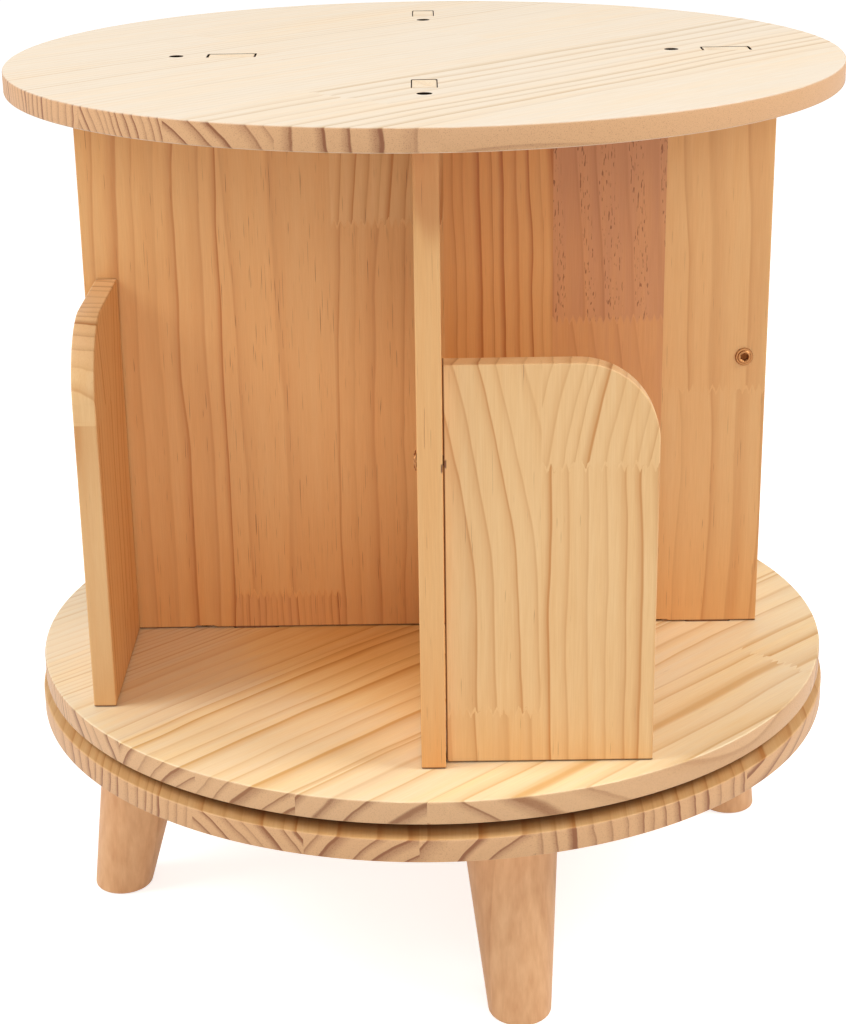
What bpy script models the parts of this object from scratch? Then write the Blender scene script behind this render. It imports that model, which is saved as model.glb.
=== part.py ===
"""Revolving bookcase in edge-glued pine.

Two cross-halved divider boards stand between a round top and a round turntable, with a book stop screwed to each
of the four wings. The turntable runs on a ring bearing above a round base board with four splayed, tapered legs.
Metres, +Z up, origin on the floor under the turning axis. The front is towards -Y.
"""

import math

import bmesh
import bpy
from mathutils import Matrix, Vector

# Boards
TOP_RADIUS = 0.225
TURNTABLE_RADIUS = 0.2275
BASE_RADIUS = 0.2294
TOP_THICKNESS = 0.0117
TURNTABLE_THICKNESS = 0.0128
BASE_THICKNESS = 0.0129
DIVIDER_THICKNESS = 0.0125
STOP_THICKNESS = 0.0122
BAY_HEIGHT = 0.3227
DIVIDER_INSET = 0.03575
DIVIDER_WIDTH = 2 * (TURNTABLE_RADIUS - DIVIDER_INSET)
DISC_ARRIS = 0.0011
BOARD_ARRIS = 0.0006

# Clearances
SEAT = 0.0003
LAP_GAP = 0.0004
TENON_SIDE_GAP = 0.0004
TENON_END_GAP = 0.0013
TENON_RECESS = 0.0004
HOLE_GAP = 0.0003
OVERCUT = 0.002

# Tenons and screws along a divider, measured from the turning axis
TENON_LENGTH = 0.0242
NEAR_TENON_RADIUS = 0.104
FAR_TENON_RADIUS = 0.1635
DIVIDER_SCREW_RADIUS = 0.134
SCREW_RELIEF_WIDTH = 0.0135
SCREW_RELIEF_HEIGHT = 0.0011
SCREW_RELIEF_SLOPE = 0.0015

# Book stops
STOP_WIDTH = 0.1052
STOP_HEIGHT = 0.2131
STOP_GAP = 0.0011
STOP_SETBACK = 0.0127
STOP_RADIUS = DIVIDER_WIDTH / 2 - STOP_SETBACK
STOP_TOP_ROUND = 0.0405
STOP_INNER_ROUND = 0.002
STOP_SCREW_HEIGHT = 0.1627
STOP_DOWEL_OFFSET = 0.036
DOWEL_RADIUS = 0.003
DOWEL_LENGTH = 0.024
DOWEL_IN_TURNTABLE = 0.008

# Legs
LEG_HEIGHT = 0.1143
LEG_FOOT_RADIUS = 0.0168
LEG_TOP_RADIUS = 0.0268
LEG_FOOT_INSET = 0.0375
LEG_FOOT_CIRCLE = BASE_RADIUS - LEG_FOOT_INSET
LEG_SPLAY = math.radians(11.3)
LEG_TURN = math.radians(13.4)
LEG_FOOT_ROUND = 0.0022
LEG_BOLT_RADIUS = 0.004
LEG_BOLT_IN_LEG = 0.034
LEG_BOLT_CHAMFER = 0.0008
TEE_FLANGE_RADIUS = 0.0095
TEE_FLANGE_THICKNESS = 0.0015
TEE_BARREL_WALL = 0.0012
TEE_BARREL_SHORT = 0.001

# Ring bearing
BEARING_HEIGHT = 0.0075
BALL_CIRCLE = 0.100
BALL_RADIUS = 0.0025
BALL_COUNT = 10
RING_WIDTH = 0.0164
RING_GAP = 0.0032
RING_LIFT = 0.0009
CAGE_THICKNESS = 0.0016
CAGE_HEIGHT = 0.0066

# Screws: head radius, head depth, shank radius, length
TOP_SCREW = (0.0036, 0.0026, 0.0020, 0.040)
RING_SCREW = (0.0030, 0.0022, 0.0015, 0.0145)
SCREW_RECESS = 0.0045
RING_SCREW_RECESS = 0.0003
SCREW_RIM = 0.0004
SCREW_TIP = 0.004
SCREW_SOCKET_RADIUS = 0.0015
SCREW_SOCKET_DEPTH = 0.0016
STOP_SCREW_HEAD_RADIUS = 0.0051
STOP_SCREW_HEAD_HEIGHT = 0.0016
STOP_SCREW_NECK_RADIUS = 0.0034
STOP_SCREW_THREAD_RADIUS = 0.0024
STOP_SCREW_IN_STOP = 0.036
STOP_SCREW_SOCKET_RADIUS = 0.0023
STOP_SCREW_SOCKET_DEPTH = 0.003

# Facets
DISC_SEGMENTS = 96
RING_SEGMENTS = 56
LEG_SEGMENTS = 28
SCREW_SEGMENTS = 10
BOLT_SEGMENTS = 12
POCKET_SEGMENTS = 10
ROUND_STEPS = 10
GROOVE_STEPS = 3

# Levels above the floor
BASE_LOW = LEG_HEIGHT + SEAT
BASE_HIGH = BASE_LOW + BASE_THICKNESS
TURNTABLE_LOW = BASE_HIGH + BEARING_HEIGHT
TURNTABLE_HIGH = TURNTABLE_LOW + TURNTABLE_THICKNESS
TOP_LOW = TURNTABLE_HIGH + BAY_HEIGHT
TOP_HIGH = TOP_LOW + TOP_THICKNESS
BALL_LEVEL = BASE_HIGH + BEARING_HEIGHT / 2

QUARTERS = ("front", "right", "back", "left")
QUARTER = math.pi / 2
UPSIDE_DOWN = Matrix.Rotation(math.pi, 4, "X")


def clear_scene():
    for obj in list(bpy.data.objects):
        bpy.data.objects.remove(obj, do_unlink=True)


def collection(name):
    made = bpy.data.collections.new(name)
    bpy.context.scene.collection.children.link(made)
    return made


def axis_empty(name):
    """An empty on the turning axis, which carries the pieces of one body."""
    empty = bpy.data.objects.new(name, None)
    PARTS.objects.link(empty)
    return empty


def material(name, colour, roughness, metallic=0.0):
    made = bpy.data.materials.new(name)
    made.use_nodes = True
    shader = made.node_tree.nodes["Principled BSDF"]
    shader.inputs["Base Color"].default_value = (*colour, 1.0)
    shader.inputs["Roughness"].default_value = roughness
    shader.inputs["Metallic"].default_value = metallic
    return made


def mesh_of(name, bm):
    mesh = bpy.data.meshes.new(name)
    bmesh.ops.recalc_face_normals(bm, faces=bm.faces)
    bm.to_mesh(mesh)
    bm.free()
    return mesh


def part(name, mesh, finish, body, turn=0.0):
    """One named piece, riding on a body's empty and turned about the axis."""
    obj = bpy.data.objects.new(name, mesh)
    PARTS.objects.link(obj)
    obj.parent = body
    obj.rotation_euler.z = turn
    if not mesh.materials:
        mesh.materials.append(finish)
    return obj


def cutter(name, mesh, place=None):
    """A shape that is taken out of other pieces and isn't a piece itself."""
    obj = bpy.data.objects.new(name, mesh)
    CUTTERS.objects.link(obj)
    obj.hide_render = True
    obj.display_type = "WIRE"
    if place is not None:
        obj.matrix_world = place
    return obj


def cut(obj, *tools):
    for tool in tools:
        modifier = obj.modifiers.new(tool.name, "BOOLEAN")
        modifier.operation = "DIFFERENCE"
        modifier.object = tool


def ease_edges(obj, width):
    """Takes the sharp arris off a board's edges."""
    modifier = obj.modifiers.new("edges", "BEVEL")
    modifier.width = width
    modifier.segments = 1
    modifier.limit_method = "ANGLE"
    modifier.angle_limit = math.radians(50)


def bake(obj):
    """Applies an object's modifiers, so that its copies can share the finished mesh."""
    bpy.context.view_layer.update()
    graph = bpy.context.evaluated_depsgraph_get()
    mesh = bpy.data.meshes.new_from_object(obj.evaluated_get(graph))
    mesh.name = obj.name
    obj.modifiers.clear()
    obj.data = mesh
    return mesh


def shade(mesh):
    """Smooth shading, but for the sharp edges of a round piece."""
    mesh.shade_smooth()
    mesh.set_sharp_from_angle(angle=math.radians(35))
    return mesh


def turned_mesh(name, profile, segments, closed=False):
    """A profile of (radius, height) points turned about Z: down its outer side, from top to bottom."""
    bm = bmesh.new()
    points = [bm.verts.new((radius, 0, height)) for radius, height in profile]
    for start, end in zip(points, points[1:]):
        bm.edges.new((start, end))
    if closed:
        bm.edges.new((points[-1], points[0]))
    mesh = bpy.data.meshes.new(name)
    bm.to_mesh(mesh)
    bm.free()
    obj = bpy.data.objects.new(name, mesh)
    CUTTERS.objects.link(obj)
    screw = obj.modifiers.new("turn", "SCREW")
    screw.axis = "Z"
    screw.steps = segments
    screw.render_steps = segments
    screw.use_merge_vertices = True
    screw.merge_threshold = 0.00001
    screw.use_smooth_shade = False
    turned = bake(obj)
    bpy.data.objects.remove(obj)
    bm = bmesh.new()
    bm.from_mesh(turned)
    bmesh.ops.remove_doubles(bm, verts=bm.verts, dist=0.000001)
    return mesh_of(name, bm)


def arc(centre, radius, start, end, steps):
    angles = [start + (end - start) * step / steps for step in range(steps + 1)]
    return [(centre[0] + radius * math.cos(a), centre[1] + radius * math.sin(a)) for a in angles]


def outline_mesh(name, outline, thickness):
    """A flat outline in the XZ plane, extruded half its thickness to each side of that plane."""
    bm = bmesh.new()
    front = [bm.verts.new((along, -thickness / 2, up)) for along, up in outline]
    swept = bmesh.ops.extrude_face_region(bm, geom=[bm.faces.new(front)])
    moved = [item for item in swept["geom"] if isinstance(item, bmesh.types.BMVert)]
    bmesh.ops.translate(bm, verts=moved, vec=(0, thickness, 0))
    return mesh_of(name, bm)


def cylinder_mesh(name, radius, low, high, segments):
    bm = bmesh.new()
    middle = Matrix.Translation((0, 0, (low + high) / 2))
    bmesh.ops.create_cone(
        bm, cap_ends=True, segments=segments, radius1=radius, radius2=radius, depth=high - low, matrix=middle
    )
    return mesh_of(name, bm)


# Fastener shapes


def countersunk_screw_mesh(name, size):
    """A countersunk screw with its head's face at Z = 0, pointing down."""
    head, depth, shank, length = size
    profile = [
        (0, 0),
        (head, 0),
        (head, -SCREW_RIM),
        (shank, -depth),
        (shank, SCREW_TIP - length),
        (0, -length),
    ]
    return turned_mesh(name, profile, SCREW_SEGMENTS)


def countersunk_hole_mesh(name, size, recess):
    """The hole for that screw: its own shape with a gap all round, open above its sunken head."""
    head, depth, shank, length = size
    profile = [
        (0, recess + OVERCUT),
        (head + HOLE_GAP, recess + OVERCUT),
        (head + HOLE_GAP, -SCREW_RIM - HOLE_GAP),
        (shank + HOLE_GAP, -depth - HOLE_GAP),
        (shank + HOLE_GAP, -length - HOLE_GAP),
        (0, -length - HOLE_GAP),
    ]
    return turned_mesh(name, profile, SCREW_SEGMENTS)


def with_socket(mesh, radius, face, depth):
    """Cuts a hexagon socket into a screw's head, whose face is at the given height."""
    obj = bpy.data.objects.new(mesh.name, mesh)
    CUTTERS.objects.link(obj)
    socket = cutter(mesh.name + "_socket", cylinder_mesh("socket", radius, face - depth, face + OVERCUT, 6))
    cut(obj, socket)
    made = bake(obj)
    bpy.data.objects.remove(obj)
    bpy.data.objects.remove(socket)
    return made


def stop_screw_mesh(name):
    """A furniture screw with a low flanged head that stands on the board, a plain neck and a thinner thread."""
    head = STOP_SCREW_HEAD_HEIGHT
    neck = -DIVIDER_THICKNESS
    tip = neck - STOP_SCREW_IN_STOP
    profile = [
        (0, head),
        (STOP_SCREW_HEAD_RADIUS - head / 2, head),
        (STOP_SCREW_HEAD_RADIUS, head / 2),
        (STOP_SCREW_HEAD_RADIUS, SEAT),
        (STOP_SCREW_NECK_RADIUS, SEAT),
        (STOP_SCREW_NECK_RADIUS, neck),
        (STOP_SCREW_THREAD_RADIUS, neck - SEAT),
        (STOP_SCREW_THREAD_RADIUS, tip + SCREW_TIP),
        (0, tip),
    ]
    mesh = turned_mesh(name, profile, SCREW_SEGMENTS)
    return with_socket(mesh, STOP_SCREW_SOCKET_RADIUS, head, STOP_SCREW_SOCKET_DEPTH)


def stop_screw_hole_mesh(name):
    neck = -DIVIDER_THICKNESS - SEAT
    tip = neck - STOP_SCREW_IN_STOP - HOLE_GAP
    profile = [
        (0, OVERCUT),
        (STOP_SCREW_NECK_RADIUS + HOLE_GAP, OVERCUT),
        (STOP_SCREW_NECK_RADIUS + HOLE_GAP, neck),
        (STOP_SCREW_THREAD_RADIUS + HOLE_GAP, neck),
        (STOP_SCREW_THREAD_RADIUS + HOLE_GAP, tip),
        (0, tip),
    ]
    return turned_mesh(name, profile, SCREW_SEGMENTS)


# Places


def quarter_turn(index):
    """Quarter turns about the axis, from the front anticlockwise."""
    return Matrix.Rotation(QUARTER * index, 4, "Z")


def divider_screw_places():
    """Where the dividers' screws go, at the front, right, back and left."""
    return [quarter_turn(index) @ Vector((0, -DIVIDER_SCREW_RADIUS, 0)) for index in range(len(QUARTERS))]


def tenon_radius(index):
    """The front and left tenons lie nearer the axis than the right and back ones."""
    return NEAR_TENON_RADIUS if QUARTERS[index] in ("front", "left") else FAR_TENON_RADIUS


def stop_screw_place(index):
    """The screw's head lies on the left face of the front divider, and points to the right."""
    head = Vector((-DIVIDER_THICKNESS / 2, -STOP_RADIUS, TURNTABLE_HIGH + STOP_SCREW_HEIGHT))
    return quarter_turn(index) @ Matrix.Translation(head) @ Matrix.Rotation(-math.pi / 2, 4, "Y")


def stop_dowel_place(index):
    foot = Vector((STOP_DOWEL_OFFSET, -STOP_RADIUS, TURNTABLE_HIGH))
    return quarter_turn(index) @ Matrix.Translation(foot)


def leg_turn(index):
    """Leg number index, from the front anticlockwise, as a turn from +X."""
    return LEG_TURN + QUARTER * (index - 1)


def leg_head_circle():
    return LEG_FOOT_CIRCLE - LEG_HEIGHT * math.tan(LEG_SPLAY)


# Sub-parts


def mortise_mesh(name, low, high):
    """A through mortise with rounded corners, along X."""
    length = TENON_LENGTH / 2 + TENON_END_GAP
    width = DIVIDER_THICKNESS / 2 + TENON_SIDE_GAP
    corner = TENON_END_GAP
    outline = []
    for turn, (side, end) in enumerate(((1, 1), (-1, 1), (-1, -1), (1, -1))):
        centre = (side * (length - corner), end * (width - corner))
        outline += arc(centre, corner, turn * QUARTER, (turn + 1) * QUARTER, 2)
    mesh = outline_mesh(name, outline, high - low)
    mesh.transform(Matrix.Translation((0, 0, (low + high) / 2)) @ Matrix.Rotation(-math.pi / 2, 4, "X"))
    return mesh


def mortise_cutters(name, low, high):
    mesh = mortise_mesh(name, low - OVERCUT, high + OVERCUT)
    tools = []
    for index in range(len(QUARTERS)):
        out = Matrix.Translation((0, -tenon_radius(index), 0)) @ Matrix.Rotation(QUARTER, 4, "Z")
        tools.append(cutter(f"{name}_{QUARTERS[index]}", mesh, quarter_turn(index) @ out))
    return tools


def disc(name, radius, low, high, finish, body):
    obj = part(name, cylinder_mesh(name, radius, low, high, DISC_SEGMENTS), finish, body)
    ease_edges(obj, DISC_ARRIS)
    return obj


def divider_edge(level, tip, slot_level, relief_level):
    """A divider's lower or upper edge, from left to right: its tenons, halving slot and screw reliefs."""
    steps = [(-NEAR_TENON_RADIUS, TENON_LENGTH / 2, tip, 0), (FAR_TENON_RADIUS, TENON_LENGTH / 2, tip, 0)]
    if slot_level is not None:
        steps.append((0, DIVIDER_THICKNESS / 2 + LAP_GAP, slot_level, 0))
    if relief_level is not None:
        for centre in (-DIVIDER_SCREW_RADIUS, DIVIDER_SCREW_RADIUS):
            steps.append((centre, SCREW_RELIEF_WIDTH / 2, relief_level, SCREW_RELIEF_SLOPE))
    points = [(-DIVIDER_WIDTH / 2, level)]
    for centre, half, reach, slope in sorted(steps):
        points += [(centre - half, level), (centre - half + slope, reach)]
        points += [(centre + half - slope, reach), (centre + half, level)]
    points.append((DIVIDER_WIDTH / 2, level))
    return points


def divider_mesh(name, slot_above):
    """A divider, with a shallow relief in its lower edge round each screw that comes up into it."""
    low = TURNTABLE_HIGH + SEAT
    high = TOP_LOW - SEAT
    middle = (low + high) / 2
    upper_slot = middle - LAP_GAP / 2 if slot_above else None
    lower_slot = None if slot_above else middle + LAP_GAP / 2
    outline = divider_edge(low, TURNTABLE_LOW + TENON_RECESS, lower_slot, low + SCREW_RELIEF_HEIGHT)
    outline += divider_edge(high, TOP_HIGH - TENON_RECESS, upper_slot, None)[::-1]
    return outline_mesh(name, outline, DIVIDER_THICKNESS)


def stop_mesh(name):
    """The front stop: a board square to the front divider, with its outer top corner rounded."""
    inner = DIVIDER_THICKNESS / 2 + STOP_GAP
    outer = inner + STOP_WIDTH
    low = TURNTABLE_HIGH + SEAT
    high = TURNTABLE_HIGH + STOP_HEIGHT
    foot = (inner + STOP_INNER_ROUND, low + STOP_INNER_ROUND)
    corner = (outer - STOP_TOP_ROUND, high - STOP_TOP_ROUND)
    outline = arc(foot, STOP_INNER_ROUND, math.pi, 3 * QUARTER, 3)
    outline.append((outer, low))
    outline += arc(corner, STOP_TOP_ROUND, 0, QUARTER, ROUND_STEPS)
    outline.append((inner, high))
    mesh = outline_mesh(name, outline, STOP_THICKNESS)
    mesh.transform(Matrix.Translation((0, -STOP_RADIUS, 0)))
    return mesh


def leg_mesh(name):
    """A tapered round leg that leans outwards along +X, cut level at both ends, with a bore for its bolt."""
    bm = bmesh.new()
    bmesh.ops.create_cone(
        bm,
        cap_ends=True,
        segments=LEG_SEGMENTS,
        radius1=LEG_FOOT_RADIUS,
        radius2=LEG_TOP_RADIUS,
        depth=LEG_HEIGHT,
        matrix=Matrix.Translation((0, 0, LEG_HEIGHT / 2)),
    )
    foot_rim = [edge for edge in bm.edges if all(vert.co.z < LEG_FOOT_ROUND for vert in edge.verts)]
    bmesh.ops.bevel(bm, geom=foot_rim, offset=LEG_FOOT_ROUND, segments=2, profile=0.5, affect="EDGES")
    lean = Matrix.Identity(4)
    lean[0][2] = -math.tan(LEG_SPLAY)
    lean[0][3] = LEG_FOOT_CIRCLE
    bm.transform(lean)
    obj = bpy.data.objects.new(name, mesh_of(name, bm))
    CUTTERS.objects.link(obj)
    bore_radius = LEG_BOLT_RADIUS + HOLE_GAP
    bore_low = LEG_HEIGHT - LEG_BOLT_IN_LEG - HOLE_GAP
    bore = cylinder_mesh("leg_bore", bore_radius, bore_low, LEG_HEIGHT + OVERCUT, BOLT_SEGMENTS)
    tool = cutter("leg_bore", bore, Matrix.Translation((leg_head_circle(), 0, 0)))
    cut(obj, tool)
    made = bake(obj)
    bpy.data.objects.remove(obj)
    bpy.data.objects.remove(tool)
    return made


def leg_bolt_mesh(name):
    """A headless hanger bolt, chamfered at both ends, on the leg's head circle."""
    low = LEG_HEIGHT - LEG_BOLT_IN_LEG
    high = BASE_HIGH - TEE_FLANGE_THICKNESS
    chamfer = LEG_BOLT_CHAMFER
    profile = [
        (0, high),
        (LEG_BOLT_RADIUS - chamfer, high),
        (LEG_BOLT_RADIUS, high - chamfer),
        (LEG_BOLT_RADIUS, low + chamfer),
        (LEG_BOLT_RADIUS - chamfer, low),
        (0, low),
    ]
    mesh = turned_mesh(name, profile, BOLT_SEGMENTS)
    mesh.transform(Matrix.Translation((leg_head_circle(), 0, 0)))
    return mesh


def tee_barrel_radii():
    inner = LEG_BOLT_RADIUS + HOLE_GAP
    return inner, inner + TEE_BARREL_WALL


def tee_nut_mesh(name):
    """A tee nut: a flange let into the base board's upper face, with a barrel down into the board."""
    inner, outer = tee_barrel_radii()
    high = BASE_HIGH - SEAT
    flange = high - TEE_FLANGE_THICKNESS
    low = BASE_LOW + TEE_BARREL_SHORT
    profile = [
        (inner, high),
        (TEE_FLANGE_RADIUS, high),
        (TEE_FLANGE_RADIUS, flange),
        (outer, flange),
        (outer, low),
        (inner, low),
    ]
    mesh = turned_mesh(name, profile, BOLT_SEGMENTS, closed=True)
    mesh.transform(Matrix.Translation((leg_head_circle(), 0, 0)))
    return mesh


def tee_hole_mesh(name):
    outer = tee_barrel_radii()[1]
    flange = BASE_HIGH - 2 * SEAT - TEE_FLANGE_THICKNESS
    profile = [
        (0, BASE_HIGH + OVERCUT),
        (TEE_FLANGE_RADIUS + HOLE_GAP, BASE_HIGH + OVERCUT),
        (TEE_FLANGE_RADIUS + HOLE_GAP, flange),
        (outer + HOLE_GAP, flange),
        (outer + HOLE_GAP, BASE_LOW - OVERCUT),
        (0, BASE_LOW - OVERCUT),
    ]
    mesh = turned_mesh(name, profile, BOLT_SEGMENTS)
    mesh.transform(Matrix.Translation((leg_head_circle(), 0, 0)))
    return mesh


def ring_middle(side):
    """The middle radius of the outer ring (side 1) or the inner ring (side -1)."""
    return BALL_CIRCLE + side * (RING_GAP + RING_WIDTH) / 2


def ring_mesh(name, side, low, high):
    """A bearing ring with a ball groove in the side that faces the other ring."""
    groove_radius = BALL_RADIUS + HOLE_GAP
    face = RING_GAP / 2
    back = face + RING_WIDTH
    reach = math.asin(face / groove_radius)
    groove = arc((0, BALL_LEVEL), groove_radius, QUARTER - reach, reach - QUARTER, GROOVE_STEPS)
    across = [(face, high), *groove, (face, low), (back, low), (back, high)]
    profile = [(BALL_CIRCLE + side * distance, height) for distance, height in across]
    return turned_mesh(name, profile, RING_SEGMENTS, closed=True)


def cage_mesh(name):
    low = BALL_LEVEL - CAGE_HEIGHT / 2
    high = BALL_LEVEL + CAGE_HEIGHT / 2
    inner = BALL_CIRCLE - CAGE_THICKNESS / 2
    outer = BALL_CIRCLE + CAGE_THICKNESS / 2
    return turned_mesh(name, [(inner, high), (outer, high), (outer, low), (inner, low)], RING_SEGMENTS, closed=True)


def ball_mesh(name):
    """A ball on the ball circle, on +X."""
    bm = bmesh.new()
    place = Matrix.Translation((BALL_CIRCLE, 0, BALL_LEVEL))
    bmesh.ops.create_icosphere(bm, subdivisions=2, radius=BALL_RADIUS, matrix=place)
    return mesh_of(name, bm)


# Assembly


def make_dividers(holes):
    """Two like boards, halved together where they cross: one is slotted from above and one from below."""
    boards = (("divider_left_right", False, 0.0), ("divider_front_back", True, QUARTER))
    for name, slot_above, turn in boards:
        obj = part(name, divider_mesh(name, slot_above), PINE_BOARD, CAROUSEL, turn)
        ease_edges(obj, BOARD_ARRIS)
        wings = ("front", "back") if slot_above else ("left", "right")
        for index, wing in enumerate(QUARTERS):
            if wing in wings:
                cut(obj, *holes[index])


def make_stops():
    shape = part("stop_front", stop_mesh("book_stop"), PINE_BOARD, CAROUSEL)
    ease_edges(shape, BOARD_ARRIS)
    screw_hole = cutter("stop_screw_hole", stop_screw_hole_mesh("stop_screw_hole"), stop_screw_place(0))
    dowel_hole = cutter("stop_dowel_hole", dowel_hole_mesh("stop_dowel_hole"), stop_dowel_place(0))
    cut(shape, screw_hole, dowel_hole)
    mesh = bake(shape)
    for index, quarter in enumerate(QUARTERS[1:], 1):
        part(f"stop_{quarter}", mesh, PINE_BOARD, CAROUSEL, QUARTER * index)
    screw = shade(stop_screw_mesh("stop_screw"))
    dowel_high = DOWEL_LENGTH - DOWEL_IN_TURNTABLE
    dowel = cylinder_mesh("stop_dowel", DOWEL_RADIUS, -DOWEL_IN_TURNTABLE, dowel_high, BOLT_SEGMENTS)
    for index, quarter in enumerate(QUARTERS):
        part(f"stop_screw_{quarter}", screw, BRASS, CAROUSEL).matrix_basis = stop_screw_place(index)
        part(f"stop_dowel_{quarter}", dowel, DOWEL_WOOD, CAROUSEL).matrix_basis = stop_dowel_place(index)


def dowel_hole_mesh(name):
    low = -DOWEL_IN_TURNTABLE - HOLE_GAP
    high = DOWEL_LENGTH - DOWEL_IN_TURNTABLE + HOLE_GAP
    return cylinder_mesh(name, DOWEL_RADIUS + HOLE_GAP, low, high, BOLT_SEGMENTS)


def make_divider_screws():
    """Screws down through the top and up through the turntable into each wing. Returns the holes of each wing."""
    plain = countersunk_screw_mesh("divider_screw", TOP_SCREW)
    screw = shade(with_socket(plain, SCREW_SOCKET_RADIUS, 0, SCREW_SOCKET_DEPTH))
    hole = countersunk_hole_mesh("divider_screw_hole", TOP_SCREW, SCREW_RECESS)
    stop_hole = stop_screw_hole_mesh("divider_stop_hole")
    holes = []
    for index, place in enumerate(divider_screw_places()):
        down = Matrix.Translation(place + Vector((0, 0, TOP_HIGH - SCREW_RECESS)))
        up = Matrix.Translation(place + Vector((0, 0, TURNTABLE_LOW + SCREW_RECESS))) @ UPSIDE_DOWN
        quarter = QUARTERS[index]
        part(f"top_screw_{quarter}", screw, BRASS, CAROUSEL).matrix_basis = down
        part(f"turntable_screw_{quarter}", screw, BRASS, CAROUSEL).matrix_basis = up
        holes.append(
            (
                cutter(f"top_screw_hole_{quarter}", hole, down),
                cutter(f"turntable_screw_hole_{quarter}", hole, up),
                cutter(f"divider_stop_hole_{quarter}", stop_hole, stop_screw_place(index)),
            )
        )
    return holes


def make_top(holes):
    obj = disc("top_board", TOP_RADIUS, TOP_LOW, TOP_HIGH, PINE_TOP, CAROUSEL)
    cut(obj, *mortise_cutters("top_mortise", TOP_LOW, TOP_HIGH))
    cut(obj, *(wing[0] for wing in holes))


def make_turntable(holes):
    obj = disc("turntable_board", TURNTABLE_RADIUS, TURNTABLE_LOW, TURNTABLE_HIGH, PINE_BOARD, CAROUSEL)
    cut(obj, *mortise_cutters("turntable_mortise", TURNTABLE_LOW, TURNTABLE_HIGH))
    cut(obj, *(wing[1] for wing in holes))
    dowel_hole = dowel_hole_mesh("turntable_dowel_hole")
    for index, quarter in enumerate(QUARTERS):
        cut(obj, cutter(f"turntable_dowel_hole_{quarter}", dowel_hole, stop_dowel_place(index)))
    return obj


def make_base():
    obj = disc("base_board", BASE_RADIUS, BASE_LOW, BASE_HIGH, PINE_BOARD, BASE)
    leg = shade(leg_mesh("leg"))
    bolt = shade(leg_bolt_mesh("leg_bolt"))
    nut = shade(tee_nut_mesh("tee_nut"))
    hole = tee_hole_mesh("tee_nut_hole")
    for index, quarter in enumerate(QUARTERS):
        turn = leg_turn(index)
        part(f"leg_{quarter}", leg, PINE_LEG, BASE, turn)
        part(f"leg_bolt_{quarter}", bolt, STEEL, BASE, turn)
        part(f"tee_nut_{quarter}", nut, STEEL, BASE, turn)
        cut(obj, cutter(f"tee_nut_hole_{quarter}", hole, Matrix.Rotation(turn, 4, "Z")))
    return obj


def make_bearing(turntable, base):
    """The outer ring is screwed down to the base, the inner ring up to the turntable, with caged balls between."""
    screw = shade(countersunk_screw_mesh("ring_screw", RING_SCREW))
    hole = countersunk_hole_mesh("ring_screw_hole", RING_SCREW, RING_SCREW_RECESS)
    outer_low = BASE_HIGH + SEAT
    outer_high = TURNTABLE_LOW - SEAT - RING_LIFT
    inner_low = BASE_HIGH + SEAT + RING_LIFT
    inner_high = TURNTABLE_LOW - SEAT
    outer = part("bearing_outer_ring", ring_mesh("outer_ring", 1, outer_low, outer_high), ALUMINIUM, BASE)
    inner = part("bearing_inner_ring", ring_mesh("inner_ring", -1, inner_low, inner_high), ALUMINIUM, CAROUSEL)
    down = Matrix.Translation((ring_middle(1), 0, outer_high - RING_SCREW_RECESS))
    up = Matrix.Translation((ring_middle(-1), 0, inner_low + RING_SCREW_RECESS)) @ UPSIDE_DOWN
    for index in range(len(QUARTERS)):
        below = Matrix.Rotation(leg_turn(index) + QUARTER / 2, 4, "Z") @ down
        above = Matrix.Rotation(QUARTER * index + QUARTER / 2, 4, "Z") @ up
        part(f"base_ring_screw_{index + 1}", screw, STEEL, BASE).matrix_basis = below
        part(f"turntable_ring_screw_{index + 1}", screw, STEEL, CAROUSEL).matrix_basis = above
        base_hole = cutter(f"base_ring_hole_{index + 1}", hole, below)
        turntable_hole = cutter(f"turntable_ring_hole_{index + 1}", hole, above)
        cut(outer, base_hole)
        cut(base, base_hole)
        cut(inner, turntable_hole)
        cut(turntable, turntable_hole)


def make_ball_cage():
    cage = part("ball_cage", cage_mesh("ball_cage"), NYLON, CAGE)
    ball = shade(ball_mesh("ball"))
    pocket = cylinder_mesh("ball_pocket", BALL_RADIUS + HOLE_GAP, -CAGE_THICKNESS, CAGE_THICKNESS, POCKET_SEGMENTS)
    pocket.transform(Matrix.Translation((BALL_CIRCLE, 0, BALL_LEVEL)) @ Matrix.Rotation(QUARTER, 4, "Y"))
    for index in range(BALL_COUNT):
        turn = 2 * math.pi * (index + 0.5) / BALL_COUNT
        part(f"ball_{index + 1:02d}", ball, STEEL, CAGE, turn)
        cut(cage, cutter(f"ball_pocket_{index + 1:02d}", pocket, Matrix.Rotation(turn, 4, "Z")))


clear_scene()
PARTS = collection("revolving_bookcase")
CUTTERS = collection("cutters")

PINE_TOP = material("pine_top", (0.80, 0.62, 0.40), 0.5)
PINE_BOARD = material("pine_board", (0.72, 0.44, 0.20), 0.5)
PINE_LEG = material("pine_leg", (0.68, 0.40, 0.20), 0.5)
DOWEL_WOOD = material("dowel_wood", (0.70, 0.52, 0.33), 0.6)
BRASS = material("yellow_zinc", (0.62, 0.42, 0.18), 0.35, 1.0)
STEEL = material("zinc_steel", (0.60, 0.60, 0.60), 0.35, 1.0)
ALUMINIUM = material("aluminium", (0.75, 0.76, 0.78), 0.4, 1.0)
NYLON = material("nylon", (0.85, 0.85, 0.82), 0.5)

BASE = axis_empty("base_axis")
CAROUSEL = axis_empty("carousel_axis")
CAGE = axis_empty("cage_axis")

wing_holes = make_divider_screws()
make_top(wing_holes)
make_dividers(wing_holes)
make_stops()
make_bearing(make_turntable(wing_holes), make_base())
make_ball_cage()
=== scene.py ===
import math

import bmesh
import bpy
from mathutils import Matrix, Vector


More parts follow.
